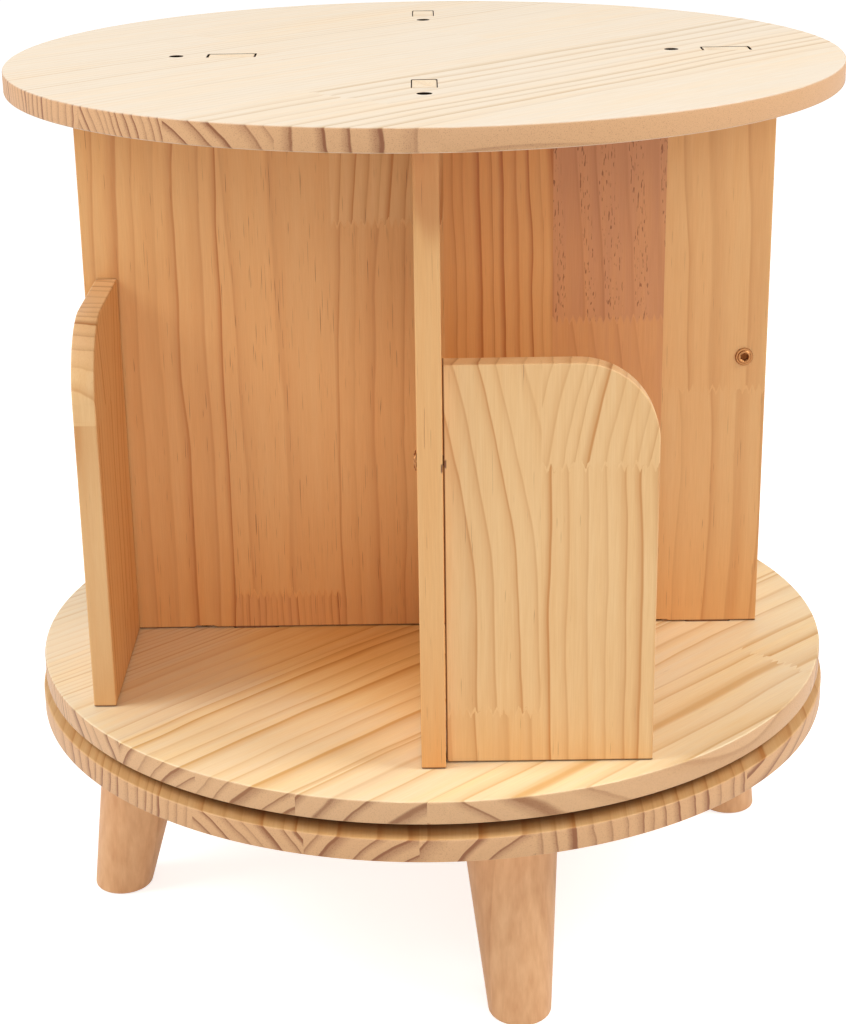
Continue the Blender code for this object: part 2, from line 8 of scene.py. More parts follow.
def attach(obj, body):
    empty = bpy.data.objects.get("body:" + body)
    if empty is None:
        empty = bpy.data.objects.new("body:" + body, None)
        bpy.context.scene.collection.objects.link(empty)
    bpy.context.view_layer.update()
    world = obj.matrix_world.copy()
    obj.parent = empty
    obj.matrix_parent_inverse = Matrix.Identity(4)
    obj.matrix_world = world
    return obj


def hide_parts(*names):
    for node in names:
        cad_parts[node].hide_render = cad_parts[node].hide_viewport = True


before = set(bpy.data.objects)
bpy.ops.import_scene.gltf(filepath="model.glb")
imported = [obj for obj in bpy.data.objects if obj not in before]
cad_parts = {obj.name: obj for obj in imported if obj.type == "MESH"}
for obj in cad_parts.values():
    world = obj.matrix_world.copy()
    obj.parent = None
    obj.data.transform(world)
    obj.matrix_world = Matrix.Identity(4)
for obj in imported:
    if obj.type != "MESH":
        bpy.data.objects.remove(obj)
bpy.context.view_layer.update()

# Sizes of the CAD model, in metres
TOP_RADIUS = 0.225
TURNTABLE_RADIUS = 0.2275
BASE_RADIUS = 0.2294
BASE_LOW = 0.1146
BASE_HIGH = 0.1275
TURNTABLE_LOW = 0.135
TURNTABLE_HIGH = 0.1478
TOP_LOW = 0.4705
TOP_HIGH = 0.4822
DIVIDER_WIDTH = 0.3835
DIVIDER_THICKNESS = 0.0125
SEAT = 0.0003
LAP_GAP = 0.0004
TENON_LENGTH = 0.0242
TENON_SIDE_GAP = 0.0004
TENON_END_GAP = 0.0013
NEAR_TENON = 0.104
FAR_TENON = 0.1635
SCREW_CIRCLE = 0.134
SCREW_HOLE_RADIUS = 0.0039
SCREW_RECESS = 0.0045
STOP_OUTER = 0.11255
STOP_HIGH = 0.3609
STOP_CIRCLE = 0.17905
STOP_THICKNESS = 0.0122
STOP_TOP_ROUND = 0.0405
STOP_INNER_ROUND = 0.002
STOP_SCREW_LEVEL = 0.3105
STOP_DOWEL_OFFSET = 0.036
DOWEL_HOLE_RADIUS = 0.0033
SCREW_RELIEF_WIDTH = 0.0135
SCREW_RELIEF_HEIGHT = 0.0011
SCREW_RELIEF_SLOPE = 0.0015
LEG_HEIGHT = 0.1143
LEG_FOOT_RADIUS = 0.0168
LEG_TOP_RADIUS = 0.0268
LEG_FOOT_CIRCLE = 0.1919
LEG_SPLAY = math.radians(11.3)
LEG_TURN = math.radians(13.4)
LEG_FOOT_ROUND = 0.0022
TEE_NUT_HOLE_RADIUS = 0.0098
# Sizes of the visual alone, some of them a little off the CAD model so that joint lines read
TENON_RECESS = 0.0001
STOP_INNER = 0.0067
DISC_ARRIS = 0.0010
DIVIDER_ARRIS = 0.0006
STOP_ARRIS = 0.0008
RIM_TOLERANCE = 0.0003
MERGE_DISTANCE = 0.000005
SHARP_ANGLE = math.radians(30)
SQUARE = 0.9999

# Counts of straight steps in the round forms
RIM_STEPS = 240
HOLE_STEPS = 24
MORTISE_CORNER_STEPS = 5
STOP_FOOT_STEPS = 6
STOP_ROUND_STEPS = 40
LEG_STEPS = 72
LEG_FOOT_STEPS = 6
STOP_SCREW_STEPS = 48
TOP_SCREW_STEPS = 36

MILLIMETRES = 1000.0
QUARTERS = ("front", "right", "back", "left")
QUARTER = math.pi / 2
DIAGONAL = 0.70710678
GRAIN = (DIAGONAL, DIAGONAL, 0.0)
CROSS_GRAIN = (DIAGONAL, -DIAGONAL, 0.0)
UP = (0.0, 0.0, 1.0)
X = (1.0, 0.0, 0.0)
Y = (0.0, 1.0, 0.0)
LEFT = (-1.0, 0.0, 0.0)


# Node helpers


def linear(red, green, blue):
    """A colour given in 0 to 255 screen values, as the linear colour that shaders take."""
    return tuple(value / 12.92 if value <= 0.04045 else ((value + 0.055) / 1.055) ** 2.4
                 for value in (red / 255, green / 255, blue / 255))


class Graph:
    """A material's or a world's nodes, made by short calls."""

    def __init__(self, owner):
        owner.use_nodes = True
        self.owner = owner
        self.tree = owner.node_tree
        self.shader = self.tree.nodes.get("Principled BSDF")

    def put(self, socket, value):
        if isinstance(value, bpy.types.NodeSocket):
            self.tree.links.new(value, socket)
        else:
            socket.default_value = value

    def node(self, kind, inputs, **settings):
        made = self.tree.nodes.new(kind)
        for key, value in settings.items():
            setattr(made, key, value)
        for key, value in dict(inputs).items():
            self.put(made.inputs[key], value)
        return made

    def math(self, operation, *values):
        return self.node("ShaderNodeMath", enumerate(values), operation=operation).outputs[0]

    def add(self, *values):
        return self.math("ADD", *values)

    def times(self, *values):
        return self.math("MULTIPLY", *values)

    def fit(self, value, low, high, to_low=0.0, to_high=1.0, kind="SMOOTHSTEP"):
        inputs = {0: value, 1: low, 2: high, 3: to_low, 4: to_high}
        return self.node("ShaderNodeMapRange", inputs, interpolation_type=kind).outputs[0]

    def mix(self, factor, first, second):
        made = self.node("ShaderNodeMix", {}, data_type="RGBA")
        self.put(made.inputs[0], factor)
        self.put(made.inputs[6], first)
        self.put(made.inputs[7], second)
        return made.outputs[2]

    def vector(self, x, y, z):
        return self.node("ShaderNodeCombineXYZ", {0: x, 1: y, 2: z}).outputs[0]

    def along(self, vector, direction):
        made = self.node("ShaderNodeVectorMath", {0: vector, 1: direction}, operation="DOT_PRODUCT")
        return made.outputs["Value"]

    def noise(self, vector, scale=1.0, detail=2.0, rough=0.5):
        inputs = {"Vector": vector, "Scale": scale, "Detail": detail, "Roughness": rough}
        return self.node("ShaderNodeTexNoise", inputs).outputs[0]

    def random(self, value):
        return self.node("ShaderNodeTexWhiteNoise", {"W": value}, noise_dimensions="1D").outputs["Value"]

    def ramp(self, factor, stops, kind="LINEAR"):
        made = self.node("ShaderNodeValToRGB", {"Fac": factor})
        made.color_ramp.interpolation = kind
        elements = made.color_ramp.elements
        while len(elements) < len(stops):
            elements.new(1.0)
        for element, (place, colour) in zip(elements, stops):
            element.position = place
            element.color = (*colour, 1.0)
        return made.outputs["Color"]

    def split(self, colour):
        return self.node("ShaderNodeSeparateColor", {0: colour}).outputs

    def seen(self):
        """One for rays from the camera, also by a mirror or a clear surface, and none for the rest."""
        rays = self.node("ShaderNodeLightPath", {}).outputs
        mirrored = self.math("MAXIMUM", rays["Is Camera Ray"], rays["Is Glossy Ray"])
        return self.math("MAXIMUM", mirrored, rays["Is Transmission Ray"])

    def bump(self, height, distance, strength):
        inputs = {"Height": height, "Distance": distance, "Strength": strength}
        self.put(self.shader.inputs["Normal"], self.node("ShaderNodeBump", inputs).outputs[0])


def material_graph(name):
    return Graph(bpy.data.materials.new(name))


# Pine. A board is glued up from staves, and each stave is finger-jointed from two lengths.
# A stave is its left edge and its joint's height in millimetres, then its upper and its lower length.
# A length is its pith's place across and through the board, the pith's bow, the ring spacing, the rings'
# contrast, the tone from cream (0) to pink-brown (1), and its share of resin dashes.

EARLY = (
    (0.0, linear(236, 220, 198)),
    (0.25, linear(247, 213, 160)),
    (0.5, linear(234, 186, 125)),
    (0.75, linear(230, 167, 98)),
    (1.0, linear(209, 148, 101)),
)
LATE = (
    (0.0, linear(206, 175, 130)),
    (0.25, linear(204, 147, 82)),
    (0.5, linear(201, 137, 75)),
    (0.75, linear(184, 109, 50)),
    (1.0, linear(172, 107, 65)),
)
RIM_EARLY = linear(215, 167, 120)
RIM_LATE = linear(138, 83, 46)
DASH = linear(126, 66, 28)
# The colour of painted shade, which the shade_at masks mix in
SHADE = linear(92, 42, 16)

# The ranges, in millimetres, in which the staves' numbers are packed into colour ramps
REACH = 250.0
PITH_RANGE = 800.0
DEPTH_RANGE = 200.0
SPACING_RANGE = 20.0
JOINT_RANGE = 2000.0

# The wood's own sizes, in millimetres, with a joint out of reach for a stave that has none
NO_JOINT = 990.0
FINGER_SHIFT = 300.0
FINGER_WIDTH = 1.9
FINGER_SLOPE = 2.4
FINGER_RAGGED = 7.0
FINGER_BLEND = 1.5
BOW_START = 200.0
BOW_LENGTH = 120.0
WANDER = 20.0
SHAKE = 5.0

# The turntable's paler palette is partly its own wood and partly painted light, lifting it as if it were
# lit more.
TURNTABLE_EARLY = (
    (0.0, linear(246, 232, 206)),
    (0.25, linear(254, 224, 166)),
    (0.5, linear(247, 203, 130)),
)
TURNTABLE_LATE = (
    (0.0, linear(220, 190, 140)),
    (0.25, linear(220, 166, 92)),
    (0.5, linear(208, 148, 76)),
)
LEG_EARLY = ((0.44, linear(236, 186, 136)), (0.56, linear(214, 156, 106)))
LEG_LATE = ((0.44, linear(212, 156, 106)), (0.56, linear(186, 127, 80)))


def whole(left, length):
    """A stave that is one length from end to end."""
    return (left, NO_JOINT, length, length)


DIVIDER_STAVES = (
    whole(-192, (-300, 10, 0.01, 11.5, 0.7, 0.59, 0.6)),
    (-117, 167, (-60, 70, -0.01, 10.0, 0.4, 0.57, 0.8), (-230, -30, 0.01, 4.0, 0.7, 0.68, 0.8)),
    # The third stave's upper length is paler, partly painted light against the shade in the corner under
    # the top.
    (-54, 388, (-120, -20, 0.01, 7.0, 1.1, 0.47, 0.7), (-200, 20, 0.01, 9.5, 0.4, 0.57, 0.7)),
    whole(9, (-70, -20, -0.01, 7.4, 1.0, 0.69, 0.4)),
    (69, 331, (-20, 60, -0.018, 13.0, 0.5, 0.96, 0.3), (0, 50, -0.08, 12.0, 0.4, 0.86, 0.3)),
    (131, 289, (330, 20, -0.01, 17.0, 0.5, 0.54, 0.5), (320, 30, -0.01, 15.0, 0.5, 0.51, 0.5)),
)
STOP_STAVES = (
    (-10, 174, (-80, 30, -0.108, 12.0, 0.85, 0.43, 0.4), (-60, 30, 0.0, 13.0, 0.5, 0.46, 0.3)),
    (54, 306, (-120, 10, 0.09, 7.4, 0.85, 0.43, 0.2), (-160, 20, 0.0, 8.6, 1.0, 0.45, 0.25)),
)
TOP_STAVES = (
    whole(-232, (-420, -20, 0.0, 6.5, 0.3, 0.0, 0.2)),
    (-172, -40, (-330, 25, 0.0, 6.0, 0.5, 0.03, 0.2), (-300, -20, 0.0, 6.0, 0.4, 0.0, 0.2)),
    whole(-118, (-300, -25, 0.0, 5.5, 0.6, 0.02, 0.3)),
    (-64, 60, (-260, 20, 0.0, 5.2, 0.2, 0.04, 0.2), (-250, 20, 0.0, 5.6, 0.3, 0.0, 0.3)),
    whole(-8, (-110, -50, 0.0, 4.6, 0.3, 0.02, 0.2)),
    (48, -130, (15, -60, 0.0, 8.4, 0.9, 0.0, 0.2), (10, -65, 0.0, 8.8, 0.7, 0.04, 0.3)),
    whole(102, (-200, -12, 0.0, 10.5, 1.0, 0.03, 0.2)),
    whole(158, (190, -95, 0.0, 19.0, 0.4, 0.02, 0.2)),
)
TURNTABLE_STAVES = (
    whole(-232, (-420, -20, 0.0, 6.5, 0.8, 0.06, 0.2)),
    (-172, -40, (-330, 25, 0.0, 6.0, 0.8, 0.07, 0.2), (-300, -20, 0.0, 7.0, 0.5, 0.04, 0.2)),
    whole(-118, (-300, -25, 0.0, 4.2, 1.0, 0.07, 0.3)),
    whole(-64, (-125, -70, 0.0, 9.5, 0.5, 0.1, 0.2)),
    whole(-8, (90, -62, 0.0, 7.8, 1.1, 0.17, 0.2)),
    whole(48, (150, -72, 0.0, 9.4, 1.1, 0.17, 0.2)),
    whole(102, (215, -75, 0.0, 12.5, 0.8, 0.13, 0.2)),
    (158, 90, (120, -60, 0.0, 13.0, 1.0, 0.17, 0.2), (100, -80, 0.0, 14.0, 0.9, 0.17, 0.2)),
)
# The base's deeper tone is partly its own wood and partly painted shade for its face in the gap under the
# turntable.
BASE_STAVES = (
    whole(-244, (-420, -20, 0.0, 6.5, 0.8, 0.45, 0.2)),
    whole(-185, (-330, 25, 0.0, 5.0, 0.8, 0.45, 0.2)),
    whole(-126, (-160, -60, 0.0, 7.2, 0.8, 0.47, 0.3)),
    whole(-67, (30, -70, 0.0, 9.6, 0.9, 0.5, 0.2)),
    whole(-9, (82, -64, 0.0, 13.5, 0.9, 0.48, 0.2)),
    whole(49, (-160, -30, 0.0, 9.0, 0.9, 0.46, 0.2)),
    whole(107, (-100, -12, 0.0, 7.4, 0.9, 0.5, 0.2)),
    whole(165, (150, 60, 0.0, 9.0, 0.8, 0.47, 0.2)),
)
LEG_STAVES = (whole(-230, (-60, 90, 0.05, 9.0, 0.4, 0.5, 0.1)),)


def turntable_painted_shade(g, place):
    """The turntable is painted deeper near the axis, as painted shade under the top."""
    reach = g.node("ShaderNodeVectorMath", {0: place}, operation="LENGTH").outputs["Value"]
    return g.fit(reach, 0.15, 0.205, 0.36, 0.0)


def divider_tone_and_painted_shade(g, place):
    """A divider is painted a little deeper at its ends, as painted shade near the turntable and under the
    top, and its tenons' tips are as pale as the top.
    """
    height = g.along(place, UP)
    low = g.fit(height, TURNTABLE_HIGH, 0.25, 0.12, 0.0)
    high = g.fit(height, 0.4, TOP_LOW, 0.0, 0.08)
    return g.add(g.add(low, high), g.fit(height, TOP_LOW, TOP_LOW + 0.001, 0.0, -0.55))


def shade_foot(g, place):
    """A thin line of painted shade along a board's foot on the turntable, for the shadowed gap beneath
    it.
    """
    return g.fit(g.along(place, UP), TURNTABLE_HIGH + 0.0006, TURNTABLE_HIGH + 0.0014, 0.85, 0.0)


def screw_mouth(g, place):
    """The height at which a stop's screw leaves the divider, where a spot of painted shade stands for the
    dark mouth of its hole.
    """
    off_level = g.math("ABSOLUTE", g.add(g.along(place, UP), -STOP_SCREW_LEVEL))
    return g.fit(off_level, 0.0014, 0.0028, 0.9, 0.0)


def shade_divider(g, place, across, through):
    """Painted shade: the same line along a divider's foot, a line down its tenons' sides for the shadowed
    gap in their mortises, and a spot at the arris where a stop's screw leaves it.
    """
    height = g.along(place, UP)
    tip = TOP_HIGH - TENON_RECESS
    under_tip = g.fit(height, tip - 0.0003, tip - 0.0001, 0.8, 0.0)
    tenon = g.times(g.fit(height, TOP_LOW, TOP_LOW + 0.001), under_tip)
    reach = g.along(place, across)
    end = g.fit(g.math("ABSOLUTE", reach), DIVIDER_WIDTH / 2 - 0.0016, DIVIDER_WIDTH / 2 - 0.0008)
    side = g.times(g.math("SIGN", reach), g.along(place, through))
    arris = g.times(end, g.fit(side, DIVIDER_THICKNESS / 2 - 0.0012, DIVIDER_THICKNESS / 2 - 0.0005))
    screw_shade = g.times(screw_mouth(g, place), arris)
    return g.math("MAXIMUM", shade_foot(g, place), g.math("MAXIMUM", tenon, screw_shade))


def shade_stop(g, place, across):
    """Painted shade: the same line along a book stop's foot, a line down its end for the shadowed gap at
    the divider, and a spot at the end's arris by the screw.
    """
    reach = g.add(g.along(place, across), -STOP_INNER)
    end = g.fit(reach, 0.0003, 0.001, 0.85, 0.0)
    screw_shade = g.times(screw_mouth(g, place), g.fit(reach, 0.001, 0.0018, 1.0, 0.0))
    return g.math("MAXIMUM", shade_foot(g, place), g.math("MAXIMUM", end, screw_shade))


def shade_base(g, place):
    """Painted shadow darkens the base in the gap under the turntable, where the turntable shades it."""
    flat = g.node("ShaderNodeVectorMath", {0: place, 1: (1.0, 1.0, 0.0)}, operation="MULTIPLY")
    reach = g.node("ShaderNodeVectorMath", {0: flat.outputs[0]}, operation="LENGTH").outputs["Value"]
    above = g.fit(g.along(place, UP), BASE_HIGH - 0.0005, BASE_HIGH)
    return g.times(above, g.fit(reach, BASE_RADIUS - 0.0155, BASE_RADIUS - 0.006, 0.8, 0.1))


def pine(name, directions, middle, staves, rim=0.0, sides=1.0, tone_at=None, shade_at=None, figure=1.0,
         colours=(EARLY, LATE)):
    """Solid pine for a board, with its staves across, thickness through and grain along the directions.

    The rim is how far the cut edges take a darker look, and sides is the share of it on the long edges.
    """
    across, through, along = directions
    g = material_graph(name)
    coordinates = g.node("ShaderNodeTexCoord", {})
    place = coordinates.outputs["Object"]
    normal = coordinates.outputs["Normal"]
    wide = g.times(g.along(place, across), MILLIMETRES)
    deep = g.times(g.add(g.along(place, through), -middle), MILLIMETRES)
    long = g.times(g.along(place, along), MILLIMETRES)

    def stretched(wide_scale, long_scale):
        return g.vector(g.times(wide, wide_scale), g.times(deep, wide_scale), g.times(long, long_scale))

    def table(values):
        """Three numbers for each stave, looked up by the place across the board."""
        stops = [((stave[0] + REACH) / (2 * REACH), value) for stave, value in zip(staves, values)]
        return g.split(g.ramp(g.fit(wide, -REACH, REACH, kind="LINEAR"), stops, "CONSTANT"))

    def parts(length):
        """A length's first six numbers as two ramp colours between 0 and 1."""
        pith, depth, bow, spacing, ring, tone = length[:6]
        ring_centre = (pith / PITH_RANGE + 0.5, depth / DEPTH_RANGE + 0.5, bow + 0.5)
        return ring_centre, (spacing / SPACING_RANGE, ring, tone)

    joint = table([(stave[1] / JOINT_RANGE + 0.5, stave[2][6], stave[3][6]) for stave in staves])
    teeth = g.times(g.math("PINGPONG", g.add(wide, FINGER_SHIFT), FINGER_WIDTH), FINGER_SLOPE)
    ragged = g.add(g.noise(g.vector(g.times(wide, 0.8), 0.0, 0.0), detail=2.0), -0.5)
    fingers = g.add(teeth, g.times(ragged, FINGER_RAGGED))
    joint_level = g.add(g.times(g.add(joint[0], -0.5), JOINT_RANGE), fingers)
    upper = g.fit(g.add(long, g.times(joint_level, -1)), -FINGER_BLEND, FINGER_BLEND)
    shapes = []
    for index in (0, 1):
        high = table([parts(stave[2])[index] for stave in staves])
        low = table([parts(stave[3])[index] for stave in staves])
        for channel in range(3):
            shapes.append(g.fit(upper, 0, 1, low[channel], high[channel], kind="LINEAR"))
    pith, depth, bow, spacing, ring, tone = shapes
    dashes = g.fit(upper, 0, 1, joint[2], joint[1], kind="LINEAR")

    # Growth rings about the pith, which bows away above a height, and wanders
    wander = g.noise(stretched(0.008, 0.003), detail=2.0)
    shake = g.noise(stretched(0.05, 0.012), detail=2.0)
    drift = g.add(g.times(g.add(wander, -0.5), WANDER), g.times(g.add(shake, -0.5), SHAKE))
    rise = g.math("MAXIMUM", g.add(long, -BOW_START), 0.0)
    bow_shift = g.times(g.add(bow, -0.5), g.times(g.times(rise, rise), 1 / BOW_LENGTH))
    pith_place = g.add(g.times(g.add(pith, -0.5), PITH_RANGE), bow_shift)
    side = g.add(g.add(wide, drift), g.times(pith_place, -1))
    height = g.add(deep, g.times(g.add(depth, -0.5), -DEPTH_RANGE))
    distance = g.math("SQRT", g.add(g.times(side, side), g.times(height, height)))
    uneven = g.noise(g.vector(g.times(distance, 0.06), 0.0, 0.0), detail=1.0)
    even_turns = g.math("DIVIDE", distance, g.times(spacing, SPACING_RANGE))
    turns = g.add(even_turns, g.times(g.add(uneven, -0.5), 1.4))
    phase = g.math("FRACT", turns)
    band = g.times(g.fit(phase, 0.4, 0.92), g.fit(phase, 0.92, 1.0, 1.0, 0.0))
    line = g.times(g.fit(phase, 0.8, 0.9), g.fit(phase, 0.93, 0.99, 1.0, 0.0))
    late_wood = g.add(g.times(band, 0.7), g.times(line, 0.45))
    chance = g.random(g.math("FLOOR", turns))
    ring_strength = g.fit(g.times(chance, chance), 0, 1, 0.3, 1.5, kind="LINEAR")
    bands = g.times(late_wood, ring_strength)
    clear_of_joint = g.fit(g.math("ABSOLUTE", g.add(upper, -0.5)), 0.3, 0.5)
    rings = g.times(g.times(bands, ring), clear_of_joint)

    # Fibres, resin dashes, pores and slow changes of colour
    fibre = g.noise(stretched(1.6, 0.045), detail=3.0, rough=0.6)
    streak = g.noise(stretched(0.25, 0.012 * figure), detail=2.0)
    dash = g.noise(stretched(1.9, 0.04), detail=1.0)
    dash_limit = g.add(g.fit(dashes, 0, 1, 0.92, 0.73, kind="LINEAR"), g.times(streak, -0.2))
    dash_mask = g.fit(g.add(dash, g.times(dash_limit, -1)), 0.0, 0.06)
    pore = g.noise(stretched(1.25, 0.22), detail=1.0)
    pore_mask = g.times(g.fit(pore, 0.6, 0.67), g.times(g.fit(tone, 0.9, 0.97), g.fit(phase, 0.55, 0.4)))
    cloud = g.noise(stretched(0.02 * figure, 0.006 * figure), detail=3.0)

    tone_here = g.add(tone, g.add(g.times(g.add(cloud, -0.5), 0.14), g.times(g.add(streak, -0.5), 0.16)))
    # A tone_at function may add painted shade as a deeper tone.
    if tone_at is not None:
        tone_here = g.add(tone_here, tone_at(g, place))
    early = g.ramp(tone_here, colours[0])
    late = g.ramp(tone_here, colours[1])
    colour = g.mix(rings, early, late)
    colour = g.mix(g.fit(fibre, 0.3, 0.7, 0.0, 0.2, kind="LINEAR"), colour, late)
    marks = g.math("MAXIMUM", g.times(dash_mask, 0.6), g.times(pore_mask, 0.75))
    colour = g.mix(marks, colour, (*DASH, 1.0))

    # The cut edges
    edge = g.fit(g.math("ABSOLUTE", g.along(normal, through)), 0.35, 0.9, rim, 0.0)
    end = g.math("ABSOLUTE", g.along(normal, along))
    edge = g.times(edge, g.fit(end, 0.3, 0.8, sides, 1.0))
    speck = g.noise(stretched(2.2, 2.2), detail=2.0)
    stripes = g.times(bands, g.fit(end, 0.2, 0.75, 0.3, 1.2))
    stripes = g.add(stripes, g.fit(speck, 0.52, 0.72, 0.0, 0.4))
    colour = g.mix(edge, colour, g.mix(stripes, (*RIM_EARLY, 1.0), (*RIM_LATE, 1.0)))
    # Painted shade, where the shade_at mask asks for it
    if shade_at is not None:
        colour = g.mix(shade_at(g, place), colour, (*SHADE, 1.0))
    g.put(g.shader.inputs["Base Color"], colour)
    g.put(g.shader.inputs["Roughness"], g.fit(fibre, 0.25, 0.75, 0.46, 0.58, kind="LINEAR"))
    g.bump(g.add(g.times(fibre, 0.6), g.times(rings, -0.4)), 0.0004, 0.25)
    return g.owner


def painted_hole_shade(name):
    """Near-black wood for the walls of drilled holes and mortises: painted shade for the shadow deep
    inside them, on sawn end grain that is itself darker.
    """
    g = material_graph(name)
    place = g.node("ShaderNodeTexCoord", {}).outputs["Object"]
    mottle = g.noise(place, 900.0, detail=3.0)
    colour = g.mix(mottle, (*linear(26, 20, 14), 1.0), (*linear(52, 38, 26), 1.0))
    g.put(g.shader.inputs["Base Color"], colour)
    g.shader.inputs["Roughness"].default_value = 0.9
    g.shader.inputs["Specular IOR Level"].default_value = 0.1
    return g.owner


def metal(name, colour, roughness, grain):
    """Plated or bare metal with fine, uneven wear."""
    g = material_graph(name)
    place = g.node("ShaderNodeTexCoord", {}).outputs["Object"]
    wear = g.noise(place, grain, detail=4.0)
    worn = tuple(value * 0.72 for value in colour)
    rough = g.fit(wear, 0.3, 0.7, roughness - 0.06, roughness + 0.1, kind="LINEAR")
    g.put(g.shader.inputs["Base Color"], g.mix(wear, (*colour, 1.0), (*worn, 1.0)))
    g.put(g.shader.inputs["Roughness"], rough)
    g.shader.inputs["Metallic"].default_value = 1.0
    g.bump(wear, 0.0001, 0.2)
    return g.owner


def plastic(name, colour):
    """Moulded plastic with a faint cloud in its colour and gloss."""
    g = material_graph(name)
    place = g.node("ShaderNodeTexCoord", {}).outputs["Object"]
    cloud = g.noise(place, 300.0, detail=3.0)
    clouded = tuple(value * 0.9 for value in colour)
    g.put(g.shader.inputs["Base Color"], g.mix(cloud, (*colour, 1.0), (*clouded, 1.0)))
    g.put(g.shader.inputs["Roughness"], g.fit(cloud, 0.3, 0.7, 0.4, 0.5, kind="LINEAR"))
    return g.owner


# Shapes


def arc(centre, radius, start, end, steps):
    angles = [start + (end - start) * step / steps for step in range(steps + 1)]
    return [(centre[0] + radius * math.cos(a), centre[1] + radius * math.sin(a)) for a in angles]


def circle(centre, radius, steps):
    return arc(centre, radius, 0, 2 * math.pi, steps)[:-1]


def show(name, mesh, body, material, nodes):
    """A finished piece on a body, in place of CAD nodes. Its faces square to an axis are shaded flat."""
    mesh.name = name
    if not mesh.materials:
        mesh.materials.append(material)
    mesh.materials[0] = material
    mesh.shade_smooth()
    mesh.set_sharp_from_angle(angle=SHARP_ANGLE)
    for face in mesh.polygons:
        face.use_smooth = max(abs(value) for value in face.normal) < SQUARE
    obj = bpy.data.objects.new(name, mesh)
    bpy.context.scene.collection.objects.link(obj)
    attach(obj, body)
    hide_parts(*nodes)


def sheet(loops, thickness, arris):
    """A flat board from its outline and its holes, about the XY plane, with one arris on all its edges.

    Its flat faces are filled without slivers, which would shade as lines.
    """
    curve = bpy.data.curves.new("sheet", "CURVE")
    curve.dimensions = "2D"
    curve.fill_mode = "BOTH"
    curve.extrude = thickness / 2 - arris
    curve.bevel_depth = arris
    curve.bevel_resolution = 2
    curve.offset = -arris
    for loop in loops:
        spline = curve.splines.new("POLY")
        spline.points.add(len(loop) - 1)
        for point, (x, y) in zip(spline.points, loop):
            point.co = (x, y, 0, 1)
        spline.use_cyclic_u = True
    obj = bpy.data.objects.new("sheet", curve)
    bpy.context.scene.collection.objects.link(obj)
    bpy.context.view_layer.update()
    mesh = bpy.data.meshes.new_from_object(obj.evaluated_get(bpy.context.evaluated_depsgraph_get()))
    bpy.data.objects.remove(obj)
    bpy.data.curves.remove(curve)
    bm = bmesh.new()
    bm.from_mesh(mesh)
    bmesh.ops.remove_doubles(bm, verts=bm.verts, dist=MERGE_DISTANCE)
    bmesh.ops.recalc_face_normals(bm, faces=bm.faces)
    flat = {face for face in bm.faces if len({round(vert.co.z, 7) for vert in face.verts}) == 1}
    inner = [edge for edge in bm.edges if len(edge.link_faces) == 2 and flat.issuperset(edge.link_faces)]
    bmesh.ops.beautify_fill(bm, faces=list(flat), edges=inner)
    return mesh, bm


def finish_mesh(mesh, bm, place):
    """Moves a sheet to its place and writes it to its mesh."""
    bm.transform(place)
    bm.to_mesh(mesh)
    bm.free()
    return mesh


def lathe(profile, segments, place):
    """Rings of (radius, height, six-sided or round), joined in order and capped at both ends."""
    bm = bmesh.new()
    rings = []
    for radius, height, six_sided in profile:
        ring = []
        for step in range(segments):
            angle = 2 * math.pi * step / segments
            reach = radius
            if six_sided:
                reach = radius * math.cos(math.pi / 6) / math.cos((angle % (math.pi / 3)) - math.pi / 6)
            ring.append(bm.verts.new((reach * math.cos(angle), reach * math.sin(angle), height)))
        rings.append(ring)
    for first, second in zip(rings, rings[1:]):
        for step in range(segments):
            after = (step + 1) % segments
            bm.faces.new((first[step], first[after], second[after], second[step]))
    bm.faces.new(rings[0])
    bm.faces.new(rings[-1])
    bmesh.ops.recalc_face_normals(bm, faces=bm.faces)
    bm.transform(place)
    mesh = bpy.data.meshes.new("lathe")
    bm.to_mesh(mesh)
    bm.free()
    return mesh


def quarter_turn(index):
    return Matrix.Rotation(QUARTER * index, 4, "Z")


def upright(place):
    """Stands a flat board up: its Y becomes Z, and its thickness runs along Y."""
    return place @ Matrix.Rotation(QUARTER, 4, "X")


def mortise(index):
    """A mortise with rounded corners, as a loop in plan."""
    half_length = TENON_LENGTH / 2 + TENON_END_GAP
    half_width = DIVIDER_THICKNESS / 2 + TENON_SIDE_GAP
    corner = TENON_END_GAP
    reach = NEAR_TENON if QUARTERS[index] in ("front", "left") else FAR_TENON
    loop = []
    for turn, (side, end) in enumerate(((1, 1), (-1, 1), (-1, -1), (1, -1))):
        centre = (side * (half_length - corner), end * (half_width - corner))
        loop += arc(centre, corner, turn * QUARTER, (turn + 1) * QUARTER, MORTISE_CORNER_STEPS)
    spin = quarter_turn(index) @ Matrix.Translation((0, -reach, 0)) @ Matrix.Rotation(QUARTER, 4, "Z")
    return [tuple((spin @ Vector((x, y, 0)))[:2]) for x, y in loop]


def hole_circle(reach, radius, turn):
    """Four round holes about the axis, as loops in plan."""
    turns = [Matrix.Rotation(turn + QUARTER * index, 4, "Z") for index in range(4)]
    return [circle((spin @ Vector((reach, 0, 0)))[:2], radius, HOLE_STEPS) for spin in turns]


def dowel_holes():
    """The hole under each book stop, as loops in plan."""
    first = Vector((STOP_DOWEL_OFFSET, -STOP_CIRCLE, 0))
    centres = [quarter_turn(index) @ first for index in range(4)]
    return [circle(centre[:2], DOWEL_HOLE_RADIUS, HOLE_STEPS) for centre in centres]


